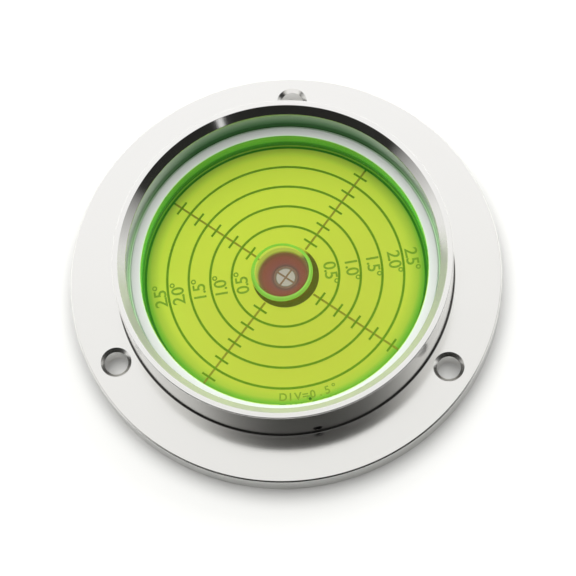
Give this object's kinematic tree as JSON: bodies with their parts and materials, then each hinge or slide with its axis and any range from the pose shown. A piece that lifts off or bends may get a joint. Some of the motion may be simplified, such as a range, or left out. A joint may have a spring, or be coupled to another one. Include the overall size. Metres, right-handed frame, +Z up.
{
  "type": "bullseye level",
  "caption": "Round bubble level with a clear liquid-filled vial sunk in a turned aluminium collar on a flat mounting flange with chamfered screw holes.",
  "frame": {"origin": "middle of the housing's flat underside", "axes": "+Z up the vial's axis, +Y through one mounting hole"},
  "size_m": [0.092, 0.092, 0.016],
  "materials": {
    "turned_aluminium": "fine turned, bright",
    "clear_acrylic": "polished, clear",
    "white_plastic": "smooth",
    "dial_plastic": "smooth",
    "plug_plastic": "smooth",
    "green_spirit": "clear liquid",
    "dark_green_ink": "printed",
    "red_brown_ink": "printed",
    "red_ink": "printed",
    "grey_ink": "printed",
    "black_steel": "black oxide"
  },
  "bodies": {
    "root": {"flanged_housing": "turned_aluminium", "vial_ring": "white_plastic", "vial_window": "clear_acrylic", "dial_plate": "dial_plastic", "fill_plug": "plug_plastic", "vial_liquid": "green_spirit", "degree_rings": "dark_green_ink", "tick_marks": "dark_green_ink", "crosshair_arms": "red_brown_ink", "target_disc": "red_ink", "centre_mark": "grey_ink", "set_screw": "black_steel"}
  },
  "joints": []
}
